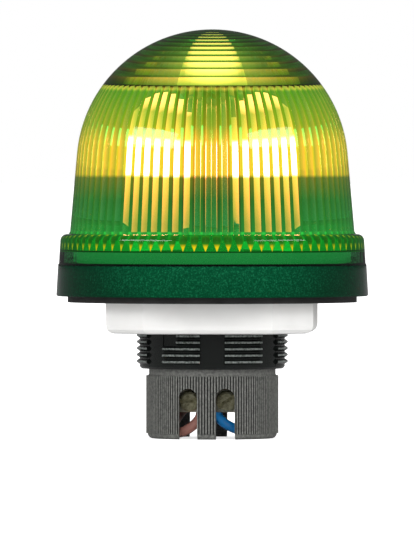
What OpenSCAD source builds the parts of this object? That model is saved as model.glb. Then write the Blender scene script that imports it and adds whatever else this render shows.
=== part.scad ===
// Panel pilot light: a fluted dome lens on a base with a threaded barrel, held in a 37 mm panel hole
// by a plastic nut, with a ribbed housing over two screw terminals. Millimetres, +Z up, front towards -Y.
// The origin is on the axis, at the plane where the gasket meets the panel.

/* [Lens] */
// Radius of the dome's outer surface
dome_r = 33.3; // [33:0.1:34]
// Height of the dome's centre above the panel
dome_z = 33.5; // [32:0.1:36]
// Slope of the wall below the dome, in degrees
wall_draft = 5; // [4:0.5:6]
// Wall of the dome at the flutes' crests
wall_t = 2.2; // [2:0.1:2.5]
// Number of vertical prism flutes inside the dome
flute_n = 78; // [70:4:86]
// Tilt of each flute's two facets, in degrees
flute_a = 37; // [30:1:40]
// Wall of the cap at the ring prisms' inner edges
cap_t = 2.8; // [2.7:0.1:3]
// Number of ring prisms inside the cap
ring_n = 11; // [8:1:11]
// Radius of the largest ring prism
ring_r = 24.15; // [23.55:0.1:24.15]
// Width of each ring prism
ring_w = 1.9; // [1.7:0.05:2]
// Distance that the skirt's lower edge stands out from the wall's foot
skirt_out = 3.35; // [3.2:0.05:3.9]
// Slope of the skirt's outside, in degrees
skirt_draft = 3.2; // [2.5:0.1:3.6]
// Height of the shoulder's top above the panel
shoulder_z = 16.75; // [16.2:0.05:17.4]
// Radius of the shoulder's rounded corner
shoulder_round = 1.7; // [1:0.1:2]
// Height of the recess's top, between the outer and the inner skirt
recess_z = 12.3; // [11.8:0.1:12.6]
// Wall of the skirt at its lower edge
skirt_t = 2.1; // [1.9:0.1:2.3]
// Gap between the skirt's inside and the base's wall
skirt_gap = 0.2; // [0.15:0.05:0.3]

/* [Base and gasket] */
// Height of the base's wall top above the panel
base_top = 9.2; // [8.8:0.1:9.6]
// Thickness of the base's floor
floor_t = 2; // [1.6:0.1:2.4]
// Thickness of the panel gasket
gasket_t = 1.5; // [1.2:0.1:1.8]
// Distance from the base's wall in to the edge of the panel gasket
gasket_inset = 0.5; // [0.3:0.1:1.2]
// Thickness of the flat ring under the lens
seal_t = 1.2; // [1:0.1:1.4]
// Turn that opens the lens, in degrees
bayonet_turn = 30; // [24:1:36]

/* [Barrel and nut] */
// Diameter over the thread's crests
thread_d = 37; // [36.8:0.05:37.2]
// Distance between the thread's crests
thread_pitch = 1.5875; // [1.5:0.0125:1.6]
// Depth of the thread
thread_h = 0.75; // [0.6:0.05:0.85]
// Length of the barrel below the panel plane
barrel_len = 16.2; // [15.5:0.1:18]
// Radius of the barrel's bore
bore_r = 15.55; // [15.4:0.05:15.8]
// Width of each smooth relief along the thread, in degrees
relief_w = 19; // [16:1:20]
// Width of the keyway
key_w = 4.4; // [3.5:0.1:4.6]
// Distance from the panel plane to the keyway's lower end
key_len = 10.6; // [9:0.1:12]
// Width of the nut across its flats
nut_w = 50.5; // [48:0.5:54]
// Length that is cut from the nut's four corners, along each side
nut_cut = 9.45; // [8:0.05:11]
// Height of the nut
nut_h = 7.5; // [6:0.1:9]

/* [Terminal housing] */
// Radius of the housing over its ribs
housing_r = 16.2; // [16:0.05:16.6]
// Distance from the panel plane to the housing's lower end
tail_len = 33.3; // [32.8:0.1:36]
// Wall of the housing under its ribs
housing_t = 1.7; // [1.5:0.1:1.8]
// Number of fine ribs round the housing
rib_n = 144; // [120:4:160]
// Depth of the fine ribs
rib_h = 0.3; // [0.2:0.05:0.35]
// Width of the slots over the terminal screws
slot_w = 4.6; // [4.4:0.1:4.8]
// Distance between the two slots' middles
slot_pitch = 9.1; // [8.9:0.1:9.4]
// Turn of the housing against the front, in degrees
tail_turn = -5.4; // [-8:0.2:0]

/* [Terminals] */
// Distance from the panel plane to the terminal screws
screw_depth = 24; // [23.6:0.1:24.4]
// Diameter of a terminal screw's head
head_d = 5.2; // [4.9:0.1:5.4]
// Diameter of a terminal screw's shank
shank_d = 3.2; // [2.8:0.1:3.4]
// Travel of a clamp plate, as its screw is let out
clamp_travel = 1; // [0.6:0.1:1.1]
// Diameter of a lead over its insulation
lead_d = 2.4; // [2:0.1:2.5]
// Diameter of a lead's bare end
wire_d = 1.2; // [0.8:0.1:1.3]

/* [Lamp] */
// Diameter of the bulb's glass
glass_d = 19; // [17:0.1:20]
// Height of the bulb's tip above the panel
glass_top = 50.2; // [46:0.1:54]
// Diameter of the bulb's cap
cap_d = 15.2; // [15:0.05:15.3]
// Length of the bulb's cap
cap_len = 16; // [15:0.5:17]
// Travel of the bulb when it is pressed in
press_travel = 2.5; // [1.5:0.1:2.5]
// Height of the filament's lower ends above the panel
filament_z = 31.5; // [28:0.5:34]
// Height of the filament from its lower ends to its top
filament_h = 8; // [5:0.5:10]

/* [Hidden] */
$fn = 96;
fit = 0.05;                             // radial clearance of a running fit
touch_gap = 0.1;                        // gap between a rubber ring and the piece that closes on it
cut = 1;                                // how far a cutter runs past what it cuts

// Lens
flat_n = flute_n;                       // columns of the lens's smooth outer faces
fine_n = 2 * flute_n;                   // columns of the fluted face
inner_n = flute_n / 2;                  // columns of the plain inner faces
foot_z = shoulder_z + 0.6;              // lower end of the dome's wall, above the shoulder
flute_end = 3.4;                        // length of the flutes' pointed lower ends
ring_draft = 2;                         // slope of the ring prisms' upright faces, in degrees
cap_in_r = dome_r - cap_t;              // radius on which the ring prisms' inner edges lie
wall_top_r = dome_r * cos(wall_draft);
wall_top_z = dome_z + dome_r * sin(wall_draft);
skirt_r = wall_r(foot_z) + skirt_out;   // outer radius of the skirt at its lower edge
inner_skirt_t = 1.2;                    // wall of the inner skirt that closes on the seal
skirt_in_r = skirt_r - skirt_t;
base_r = skirt_in_r - skirt_gap;        // outer radius of the base's wall
skirt_z = gasket_t;                     // lower edge of the outer skirt
land_z = base_top + touch_gap;          // lower edge of the inner skirt
skirt_step = 0.2;                       // step outside the skirt, level with the inner skirt's edge
lug_h = 1.8;                            // height of the lens's two bayonet lugs
lug_z = skirt_z + 1.4;                  // lower face of those lugs
lug_gap = 0.3;                          // clearance round them in the base's slots
lug_columns = 1;                        // columns to each side of a lug's middle
column_a = 360 / flat_n;
lug_a = (lug_columns + 1) * column_a;   // half the width of a lug at its root, in degrees
inner_r = wall_r(foot_z) - wall_t;      // inside of the inner skirt, level with the flutes' crests

// Base
floor_z = gasket_t;
floor_top = floor_z + floor_t;
groove_gap = 0.3;                       // how much wider the seal's groove is than the inner skirt
groove_in_r = inner_r - groove_gap;
groove_out_r = inner_r + inner_skirt_t + groove_gap;
wall_in_r = groove_in_r - 0.8;
slot_wall = 0.35;                       // wall between the seal's groove and the lugs' slots
slot_r = groove_out_r + slot_wall;
slot_step = 0.02;                       // how much deeper the way down is than the way round
slot_a = 1;                             // how much narrower it is, in degrees
lug_r = slot_r + lug_gap;               // radius to which the lens's lugs reach in
gasket_r = base_r - gasket_inset;
thread_r = thread_d / 2;
root_r = thread_r - thread_h;
crest_w = 0.36;                         // flat on each crest
root_w = 0.2;                           // flat in each root
flank_w = (thread_pitch - crest_w - root_w) / 2;
thread_end = 1;                         // chamfered end of the barrel
thread_turns = floor((barrel_len - thread_end) / thread_pitch);
relief_angles = [-90, -39, 90, 219];    // middles of the smooth reliefs
relief_r = root_r - 0.05;               // radius of the reliefs' floors, just below the thread's roots
key_angle = 234.5;
nut_turn = -2.6;                        // turn of the nut's flats against the front
nut_fit = 0.1;                          // clearance between the nut and the crests
nut_round = 2;                          // rounding of the nut's lower edge

// Terminal housing
neck_r = bore_r - fit;
neck_in = 5;                            // how far the neck reaches into the barrel
neck_z = barrel_len - neck_in;
housing_z = barrel_len + 1.7;           // upper end of the ribs
corner_r = 1.3;                         // rounding of the housing's lower edge
valley_r = housing_r - rib_h;
rib_profile = [[-0.27, 1], [0.27, 1], [0.36, 0], [0.64, 0]];   // share of the pitch, share of the depth
plain_r = valley_r - 0.1;               // the housing's smooth ends, above and below the ribs
housing_in_r = valley_r - housing_t;
arch_z = screw_depth - 3.1;             // top of the arched slots

// Terminals, in the housing's own turn
terminal_x = slot_pitch / 2;
strip_w = 6;
strip_t = 1.2;
strip_y = -5.8;                         // face of the block that carries the strips
strip_end = screw_depth + 2.8;
wire_y = strip_y - strip_t - wire_d / 2;
plate_t = 0.9;
plate_w = 5.4;
plate_y = wire_y - wire_d / 2 - fit;
head_h = 1.9;
head_y = plate_y - plate_t - fit;
shank_len = 4.4;
wire_x = terminal_x - shank_d / 2 - wire_d / 2 - 0.15;
wire_over = 4;                          // how far a wire reaches past the screw's middle

// Lamp and its contacts
plunger_x = 3.4;
plunger_r = 1.6;
disc_top = -6;                          // top of the block's floor under the lamp
disc_t = 8.4;
tab_z = disc_top - disc_t;
tab_t = 0.8;
tab_w = 4;
tag_y = 8;                              // rear face of the block, where the tabs turn down
tag_end = screw_depth - 1.2;
holder_in_r = cap_d / 2 + 0.15;
holder_t = 0.75;
holder_top = 9;
pin_r = 1;
pin_z = 3.9;
pin_out = 8.75;                         // radius over the ends of the cap's pins
cap_low = -2.8;
pad_z = -3.8;                           // lower end of the bulb's two contacts
pad_r = 1.4;
plunger_top = pad_z - fit;
spring_top = plunger_top - 4.6;
spring_r = 1.25;
spring_wire = 0.2;
spring_turns = 6;
seat_gap = 0.02;                        // gap between a spring's end and its seat
block_r = 10.4;
leg_w = 16.8;                           // width of the block's leg between the strips and the tags
leg_end = 20;
barrier_t = 1.4;                        // the wall between the two terminals
barrier_out = 5;
barrier_in = 4;
barrier_z = 18;
barrier_end = 30;
flange_r = 17.4;
flange_t = 1.5;
glass_r = glass_d / 2;
glass_t = 0.8;
glass_neck = cap_d / 2 - 0.9;
cap_top = cap_low + cap_len;
stem_top = cap_top + 5;
stem_r = 2.6;                           // radius of the solid stem inside the bulb's neck
neck_top = cap_top + 5.4;               // where the bulb's neck has widened to the glass's full width
filament_x = 2.4;

// Route of a lead, from its clamp down, round the inside of the housing and up to its tag
BROWN_ROUTE = [[2.1, -7.8, -27.1], [2.5, -8.3, -28.4], [4.1, -9, -30.2], [6.3, -8.5, -31.5],
               [8.3, -5.8, -31.8], [9.3, -2.2, -31], [9.2, 2, -29], [7.8, 6, -26.6],
               [5.6, 9.2, -24.6], [3.6, 10.3, -22]];
BLUE_ROUTE = [[2.1, -7.8, -27.1], [2.4, -8.2, -28.1], [4, -8.9, -29.5], [6.3, -8.4, -30.7],
              [8.3, -5.8, -31.2], [9.3, -2.2, -30.6], [9.2, 2, -28.8], [7.8, 6, -26.6],
              [5.6, 9.2, -24.6], [3.6, 10.3, -22]];

// ---- Lens ----------------------------------------------------------------------------------------

// A ring of n points at height z. Every other point lies at the second radius.
function ring(n, z, r_even, r_odd) =
    [for (i = [0 : n - 1]) let (r = i % 2 == 0 ? r_even : r_odd)
        [r * cos(i * 360 / n), r * sin(i * 360 / n), z]];

function plain_ring(n, z, r) = ring(n, z, r, r);

// A fluted ring whose crests have radius r. The groove's depth follows from its facets' tilt.
function fluted_ring(z, r) = ring(fine_n, z, r, r * (1 + tan(flute_a) * PI / flute_n));

function fluted_dome_ring(a) = fluted_ring(dome_z + crest_r * sin(a), crest_r * cos(a));

// True where a column of the skirt's inside belongs to one of the two lugs
function on_lug(i) = let (d = i % (flat_n / 2)) min(d, flat_n / 2 - d) <= lug_columns;

function lug_ring(z, r) =
    [for (i = [0 : flat_n - 1]) let (q = on_lug(i) ? r : skirt_in_r)
        [q * cos(i * 360 / flat_n), q * sin(i * 360 / flat_n), z]];

function wall_r(z) = wall_top_r + (wall_top_z - z) * tan(wall_draft);
function side_r(z) = skirt_r - (z - skirt_z) * tan(skirt_draft) - (z > land_z + 0.15 ? skirt_step : 0);
function dome_ring(a) = plain_ring(flat_n, dome_z + dome_r * sin(a), dome_r * cos(a));

// Radius of the inner edge of ring prism k, and its height
function step_r(k) = ring_r - k * ring_w;
function step_z(k) = dome_z + sqrt(pow(cap_in_r, 2) - pow(step_r(k), 2));

corner_z = shoulder_z - shoulder_round;
corner_mid = side_r(corner_z) - shoulder_round;
crest_r = dome_r - wall_t;              // radius of the flutes' crests in the dome
flute_top_a = asin((step_z(0) - dome_z) / crest_r);
flute_steps = 5;

LENS_RINGS = concat(
    [[[0, 0, dome_z + dome_r]]],
    [for (a = [84 : -7 : 14]) dome_ring(a)],
    [dome_ring(wall_draft)],
    [plain_ring(flat_n, foot_z, wall_r(foot_z))],
    [plain_ring(flat_n, shoulder_z, wall_r(foot_z) + 0.4)],
    [for (a = [90, 60, 30, 0])
        plain_ring(flat_n, corner_z + shoulder_round * sin(a), corner_mid + shoulder_round * cos(a))],
    [plain_ring(flat_n, land_z + 0.3, side_r(land_z + 0.3))],
    [plain_ring(flat_n, land_z, side_r(land_z))],
    [plain_ring(flat_n, skirt_z + 0.3, side_r(skirt_z + 0.3))],
    [plain_ring(flat_n, skirt_z, side_r(skirt_z) - 0.3)],
    [lug_ring(skirt_z, skirt_in_r)],
    [lug_ring(lug_z - lug_gap, skirt_in_r)],
    [lug_ring(lug_z, lug_r)],
    [lug_ring(lug_z + lug_h, lug_r)],
    [lug_ring(lug_z + lug_h + 0.2, skirt_in_r)],
    [plain_ring(inner_n, recess_z, skirt_in_r)],
    [plain_ring(inner_n, recess_z, inner_r + inner_skirt_t)],
    [plain_ring(inner_n, land_z, inner_r + inner_skirt_t)],
    [plain_ring(inner_n, land_z, inner_r)],
    [plain_ring(fine_n, recess_z, inner_r)],
    [fluted_ring(recess_z + flute_end, inner_r)],
    [fluted_ring(foot_z, inner_r)],
    [for (i = [0 : flute_steps])
        fluted_dome_ring(wall_draft + (flute_top_a - wall_draft) * i / flute_steps)],
    [for (k = [0 : ring_n - 1], upper = [0, 1]) let (rise = upper * (step_z(k + 1) - step_z(k)))
        plain_ring(inner_n, step_z(k) + rise, step_r(k) - rise * tan(ring_draft))],
    [plain_ring(inner_n, step_z(ring_n), step_r(ring_n))],
    [[[0, 0, dome_z + cap_in_r]]]);

// First point of each ring in the list of all points
function starts(rings, i = 0, sum = 0) =
    i == len(rings) ? [] : concat([sum], starts(rings, i + 1, sum + len(rings[i])));

// Triangles between ring a (first point sa, na points) and the next ring b. One of the two may have
// k times as many points as the other. Equal rings' diagonals alternate, so that a flute's lower end
// narrows to a point.
function band(sa, na, sb, nb) =
    na == nb ? [for (i = [0 : na - 1]) let (j = (i + 1) % na)
        each i % 2 == 0 ? [[sa + i, sa + j, sb + i], [sa + j, sb + j, sb + i]]
                        : [[sa + i, sa + j, sb + j], [sa + i, sb + j, sb + i]]]
    : na < nb ? let (k = nb / na) concat(
        [for (i = [0 : na - 1], m = [0 : k - 1]) [sa + i, sb + (k * i + m + 1) % nb, sb + k * i + m]],
        na == 1 ? [] : [for (i = [0 : na - 1]) [sa + i, sa + (i + 1) % na, sb + (k * (i + 1)) % nb]])
    : let (k = na / nb) concat(
        [for (i = [0 : nb - 1], m = [0 : k - 1]) [sa + k * i + m, sa + (k * i + m + 1) % na, sb + i]],
        nb == 1 ? [] : [for (i = [0 : nb - 1]) [sa + (k * (i + 1)) % na, sb + (i + 1) % nb, sb + i]]);

// One closed skin through a list of rings
module skin(rings) {
    first = starts(rings);
    polyhedron(
        points = [for (r = rings) each r],
        faces = [for (i = [0 : len(rings) - 2])
            each band(first[i], len(rings[i]), first[i + 1], len(rings[i + 1]))],
        convexity = 8);
}

module lens() color("green", 0.5) skin(LENS_RINGS);

module lens_seal()
    color("dimgray") flat_ring(base_top - seal_t, base_top, groove_in_r + fit, groove_out_r - fit);

// ---- Base, gasket and nut ------------------------------------------------------------------------

// A flat ring between two heights and two radii
module flat_ring(z0, z1, r0, r1)
    rotate_extrude() translate([r0, z0]) square([r1 - r0, z1 - z0]);

// An arc of such a ring, centred on angle a
module ring_arc(z0, z1, r0, r1, a, width)
    rotate(a - width / 2) rotate_extrude(angle = width) translate([r0, z0]) square([r1 - r0, z1 - z0]);

// The thread's outline from the barrel's lower end upwards: crests, flanks and roots
function thread_points() =
    [for (k = [0 : thread_turns - 1]) let (z = -barrel_len + thread_end + k * thread_pitch)
        each [[root_r, z + root_w / 2], [thread_r, z + root_w / 2 + flank_w],
              [thread_r, z + root_w / 2 + flank_w + crest_w], [root_r, z + thread_pitch - root_w / 2]]];

module base_turning()
    rotate_extrude() polygon(concat(
        [[bore_r, floor_top], [bore_r, -barrel_len], [root_r - thread_end / 2, -barrel_len],
         [root_r, -barrel_len + thread_end / 2]],
        thread_points(),
        [[root_r, floor_z], [base_r, floor_z], [base_r, base_top - 0.3], [base_r - 0.3, base_top],
         [groove_out_r, base_top], [groove_out_r, base_top - seal_t], [groove_in_r, base_top - seal_t],
         [groove_in_r, base_top], [wall_in_r, base_top], [wall_in_r, floor_top]]));

// The L-shaped way of one lens lug: down the wall, then round under it
module bayonet_slot() {
    low = lug_z - 2 * lug_gap;
    width = 2 * (lug_a + 1);
    ring_arc(low + lug_h, base_top + cut, slot_r - slot_step, base_r + cut, bayonet_turn, width - slot_a);
    ring_arc(low, lug_z + lug_h + 2 * lug_gap, slot_r, base_r + cut, bayonet_turn / 2, width + bayonet_turn);
}

module keyway()
    rotate(key_angle) translate([root_r - 0.4, -key_w / 2, -key_len]) cube([thread_r, key_w, key_len]);

module base()
    color("black") difference() {
        base_turning();
        for (a = [0, 180])
            rotate(a) bayonet_slot();
        for (a = relief_angles)
            ring_arc(-barrel_len - cut, 0, relief_r, thread_r + cut, a, relief_w);
        keyway();
    }

module panel_gasket() color("dimgray") flat_ring(0, gasket_t, thread_r + nut_fit, gasket_r);

function nut_outline() = let (h = nut_w / 2, c = nut_w / 2 - nut_cut)
    [[c, -h], [h, -c], [h, c], [c, h], [-c, h], [-h, c], [-h, -c], [-c, -h]];

// The nut's outline, drawn in by an amount on every side
module nut_face(inset) scale((nut_w - 2 * inset) / nut_w) polygon(nut_outline());

module mounting_nut()
    color("white") rotate(nut_turn) difference() {
        union() {
            translate([0, 0, nut_round - nut_h]) linear_extrude(nut_h - nut_round) nut_face(0);
            for (step = [0, 1, 2]) {
                a0 = step * 30;
                a1 = a0 + 30;
                low = nut_round * (1 - sin(a1));
                high = nut_round * (1 - sin(a0));
                wide = nut_w - 2 * nut_round * (1 - cos(a0));
                narrow = nut_w - 2 * nut_round * (1 - cos(a1));
                translate([0, 0, high - nut_h]) mirror([0, 0, 1])
                    linear_extrude(high - low, scale = narrow / wide) nut_face((nut_w - wide) / 2);
            }
        }
        translate([0, 0, -nut_h - cut]) cylinder(h = nut_h + 2 * cut, r = thread_r + nut_fit);
    }

// ---- Terminal housing ----------------------------------------------------------------------------

module tail() rotate(tail_turn) children();

module side(s) mirror([s < 0 ? 1 : 0, 0, 0]) children();

// The housing's ribbed outline. Each rib has a flat crest and each groove a flat floor.
function rib_outline() =
    [for (i = [0 : rib_n - 1], p = rib_profile) let (a = (i + p[0]) * 360 / rib_n)
        (valley_r + p[1] * rib_h) * [cos(a), sin(a)]];

module housing_slot(s)
    translate([s * terminal_x, 0, 0]) {
        translate([-slot_w / 2, -housing_r - cut, -tail_len - cut])
            cube([slot_w, 2 * (housing_r + cut), tail_len + cut - arch_z - slot_w / 2]);
        translate([0, housing_r + cut, -arch_z - slot_w / 2])
            rotate([90, 0, 0]) cylinder(h = 2 * (housing_r + cut), d = slot_w);
    }

module housing_shell() {
    translate([0, 0, corner_r - tail_len])
        linear_extrude(tail_len - corner_r - housing_z) polygon(rib_outline());
    rotate_extrude() {
        translate([0, -tail_len]) square([plain_r - corner_r, corner_r + cut]);
        translate([0, corner_r - tail_len]) square([plain_r, cut]);
        intersection() {
            translate([plain_r - corner_r, corner_r - tail_len]) circle(corner_r, $fn = 64);
            translate([0, -tail_len]) square([plain_r, corner_r + cut]);
        }
    }
    rotate_extrude() polygon([[0, -housing_z - cut], [plain_r, -housing_z - cut], [plain_r, -housing_z],
                              [neck_r, plain_r - neck_r - housing_z], [neck_r, -neck_z], [0, -neck_z]]);
}

module terminal_housing()
    color("dimgray") tail() difference() {
        housing_shell();
        translate([0, 0, -tail_len - cut]) cylinder(h = tail_len + 2 * cut - neck_z, r = housing_in_r);
        for (s = [-1, 1])
            housing_slot(s);
    }

// ---- Terminal block and terminals ----------------------------------------------------------------

module terminal_block()
    color("darkslategray") tail() difference() {
        union() {
            rotate_extrude() polygon([[0, tab_z], [block_r, tab_z], [block_r, floor_top], [flange_r, floor_top],
                [flange_r, floor_top + flange_t], [block_r, floor_top + flange_t], [block_r, holder_top - 0.5],
                [block_r - 1, holder_top - 0.5], [block_r - 1, 0], [holder_in_r + holder_t + fit, 0],
                [holder_in_r + holder_t + fit, disc_top], [0, disc_top]]);
            translate([-leg_w / 2, strip_y, -leg_end]) cube([leg_w, tag_y - strip_y, leg_end + tab_z]);
            translate([-barrier_t / 2, strip_y - barrier_out, -barrier_end])
                cube([barrier_t, barrier_out + barrier_in, barrier_end - barrier_z]);
        }
        for (s = [-1, 1]) {
            translate([s * plunger_x, 0, tab_z - cut])
                cylinder(h = disc_t + 2 * cut, r = plunger_r + fit, $fn = 48);
            translate([s * plunger_x - tab_w / 2 - fit, -plunger_r - 1, tab_z - tab_t - fit])
                cube([tab_w + 2 * fit, tag_y + plunger_r + 1 + cut, tab_t + 2 * fit]);
        }
    }

// A brass strip on the block's front, with the hole for its screw
module terminal(s)
    color("gold") tail() difference() {
        translate([s * terminal_x - strip_w / 2, strip_y - strip_t, -strip_end])
            cube([strip_w, strip_t, strip_end + tab_z - tab_t - 1]);
        translate([s * terminal_x, strip_y + cut, -screw_depth])
            rotate([90, 0, 0]) cylinder(h = strip_t + 2 * cut, r = shank_d / 2 + fit, $fn = 48);
    }

// The square plate that a screw presses on the wire
module clamp_plate(s)
    color("silver") tail() difference() {
        translate([s * terminal_x - plate_w / 2, plate_y - plate_t, -screw_depth - plate_w / 2])
            cube([plate_w, plate_t, plate_w]);
        translate([s * terminal_x, plate_y + cut, -screw_depth])
            rotate([90, 0, 0]) cylinder(h = plate_t + 2 * cut, r = shank_d / 2 + fit, $fn = 48);
    }

// A slotted screw, its slot turned by slot_a from level
module terminal_screw(s, slot_a)
    color("khaki") tail() translate([s * terminal_x, head_y, -screw_depth]) rotate([90, 0, 0])
        difference() {
            rotate_extrude($fn = 64) polygon([[0, -shank_len], [shank_d / 2 - 0.4, -shank_len],
                [shank_d / 2, 0.4 - shank_len], [shank_d / 2, 0], [head_d / 2, 0], [head_d / 2, head_h - 0.5],
                [head_d / 2 - 0.3, head_h - 0.15], [head_d / 2 - 0.8, head_h], [0, head_h]]);
            rotate(slot_a) translate([-head_d, -0.4, head_h - 0.9]) cube([2 * head_d, 0.8, 2]);
        }

// ---- Leads ---------------------------------------------------------------------------------------

function unit(v) = v / norm(v);

// A point between p1 and p2 on the smooth curve through four points
function spline(p0, p1, p2, p3, t) =
    0.5 * ((2 * p1) + (p2 - p0) * t + (2 * p0 - 5 * p1 + 4 * p2 - p3) * t * t
           + (3 * p1 - p0 - 3 * p2 + p3) * t * t * t);

function smooth(route, steps) = let (last = len(route) - 1)
    concat([for (i = [0 : last - 1], k = [0 : steps - 1])
        spline(route[max(i - 1, 0)], route[i], route[i + 1], route[min(i + 2, last)], k / steps)],
        [route[last]]);

// Rings of 8 points round a path that never runs along X
function tube_rings(path, r) = let (last = len(path) - 1)
    [for (i = [0 : last])
        let (t = unit(path[min(i + 1, last)] - path[max(i - 1, 0)]), u = unit(cross(t, [1, 0, 0])), w = cross(t, u))
        [for (k = [0 : 7]) path[i] + r * (cos(k * 45) * u - sin(k * 45) * w)]];

module tube(path, r)
    skin(concat([[path[0]]], tube_rings(path, r), [[path[len(path) - 1]]]));

module lead(route, s)
    tail() side(s) {
        tube(smooth(route, 3), lead_d / 2);
        translate([wire_x, wire_y, route[0][2]])
            cylinder(h = strip_end - screw_depth + wire_over, d = wire_d, $fn = 32);
    }

module lead_brown() color("rosybrown") lead(BROWN_ROUTE, -1);
module lead_blue() color("dodgerblue") lead(BLUE_ROUTE, 1);

// ---- Lamp holder and its contacts ----------------------------------------------------------------

module contact_tab(s)
    color("gold") tail() translate([s * plunger_x - tab_w / 2, 0, 0]) {
        translate([0, -plunger_r - 0.9, tab_z - tab_t]) cube([tab_w, tag_y + plunger_r + 0.9 + tab_t, tab_t]);
        translate([0, tag_y, -tag_end]) cube([tab_w, tab_t, tag_end + tab_z]);
    }

module contact_plunger(s)
    color("gold") tail() translate([s * plunger_x, 0, 0]) {
        translate([0, 0, spring_top]) cylinder(h = plunger_top - spring_top, r = plunger_r, $fn = 48);
        translate([0, 0, spring_top - 2]) cylinder(h = 2.5, r = plunger_r / 2, $fn = 48);
    }

// Middle line of a coil spring's wire, from height z0 to z1
function coil_path(turns, r, z0, z1) =
    [for (i = [0 : 12 * turns]) let (a = i * 30) [r * cos(a), r * sin(a), z0 + (z1 - z0) * i / (12 * turns)]];

module contact_spring(s)
    color("silver") tail() translate([s * plunger_x, 0, 0])
        skin(let (low = tab_z + spring_wire + seat_gap,
                  p = coil_path(spring_turns, spring_r, low, spring_top - spring_wire - seat_gap),
                  last = len(p) - 1)
            concat([[p[0]]],
                [for (i = [0 : last]) let (t = unit(p[min(i + 1, last)] - p[max(i - 1, 0)]),
                    u = unit([p[i][0], p[i][1], 0]), w = cross(t, u))
                    [for (k = [0 : 3]) p[i] + spring_wire * (cos(k * 90) * u - sin(k * 90) * w)]],
                [[p[last]]]));

module lamp_holder()
    color("silver") tail() difference() {
        flat_ring(disc_top, holder_top, holder_in_r, holder_in_r + holder_t);
        for (a = [90, 270])
            rotate(a) {
                low = pin_z - press_travel - pin_r - 0.1;
                notch = 2 * pin_r + 0.3;
                translate([holder_in_r - cut, -notch / 2, low])
                    cube([holder_t + 2 * cut, notch, press_travel + 2 * pin_r + 0.15]);
                ring_arc(low, low + notch, holder_in_r - cut, holder_in_r + holder_t + cut, 10, 20);
                rotate(20) translate([holder_in_r - cut, -notch / 2, low])
                    cube([holder_t + 2 * cut, notch, holder_top - low + cut]);
            }
    }

// ---- Bulb ----------------------------------------------------------------------------------------

// The outside of the bulb's glass, drawn in by an amount
function bulb_outline(inset) = let (r = glass_r - inset, tip = glass_top - glass_r)
    concat([[0, cap_low + 1 + 2.5 * inset], [glass_neck - inset, cap_low + 1 + 2.5 * inset],
            [glass_neck - inset, cap_top + 0.4], [r, neck_top]],
        [for (a = [0 : 5 : 90]) [r * cos(a), tip + r * sin(a)]]);

module bulb_glass()
    color("white", 0.4) rotate_extrude() difference() {
        polygon(bulb_outline(0));
        difference() {
            polygon(bulb_outline(glass_t));
            translate([-1, cap_low]) square([1 + stem_r, stem_top - cap_low]);
        }
    }

module bulb_cap()
    color("silver") tail() {
        difference() {
            rotate_extrude() polygon([[0, cap_low], [cap_d / 2 - 0.4, cap_low], [cap_d / 2, cap_low + 0.4],
                [cap_d / 2, cap_top], [glass_neck + fit, cap_top], [glass_neck + fit, cap_low + 0.9],
                [0, cap_low + 0.9]]);
            for (s = [-1, 1])
                translate([s * plunger_x, 0, cap_low - cut]) cylinder(h = 3, r = pad_r + 0.6, $fn = 48);
        }
        for (a = [90, 270])
            rotate(a) translate([cap_d / 2 - 0.5, 0, pin_z]) rotate([0, 90, 0])
                cylinder(h = pin_out - cap_d / 2 + 0.5, r = pin_r, $fn = 48);
    }

// The two contacts under the cap, each in its glass bead
module bulb_insulator()
    color("purple") tail() for (s = [-1, 1])
        translate([s * plunger_x, 0, 0]) {
            translate([0, 0, cap_low - 0.4]) cylinder(h = 1.2, r = pad_r + 0.5, $fn = 48);
            translate([0, 0, pad_z]) cylinder(h = 1, r = pad_r, $fn = 48);
        }

// An inverted V of fine coil between the two supports
module filament()
    color("orange") for (s = [-1, 1])
        translate([s * filament_x, 0, filament_z]) rotate([0, -s * atan(filament_x / filament_h), 0])
            cylinder(h = norm([filament_x, filament_h]), r = 0.3, $fn = 24);

module filament_supports()
    color("gray") for (s = [-1, 1])
        translate([s * filament_x, 0, stem_top]) cylinder(h = filament_z - stem_top - 0.1, r = 0.25, $fn = 24);

lens();
lens_seal();
base();
panel_gasket();
mounting_nut();
terminal_housing();
terminal_block();
terminal(-1);  // terminal_left
terminal(1);  // terminal_right
clamp_plate(-1);  // clamp_plate_left
clamp_plate(1);  // clamp_plate_right
terminal_screw(-1, 0);  // terminal_screw_left
terminal_screw(1, 32);  // terminal_screw_right
lead_brown();
lead_blue();
contact_tab(-1);  // contact_tab_left
contact_tab(1);  // contact_tab_right
contact_spring(-1);  // contact_spring_left
contact_spring(1);  // contact_spring_right
contact_plunger(-1);  // contact_plunger_left
contact_plunger(1);  // contact_plunger_right
lamp_holder();
bulb_glass();
bulb_cap();
bulb_insulator();
filament();
filament_supports();
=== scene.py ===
"""The looks of a panel pilot light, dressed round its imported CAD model: a lit green dome lens on a
black base with a threaded barrel, a white nut and a ribbed housing over two screw terminals.
Metres, +Z up, front towards -Y. The origin is on the axis, at the panel's plane."""
import math

import bpy
import numpy as np
from mathutils import Matrix, Vector


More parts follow.
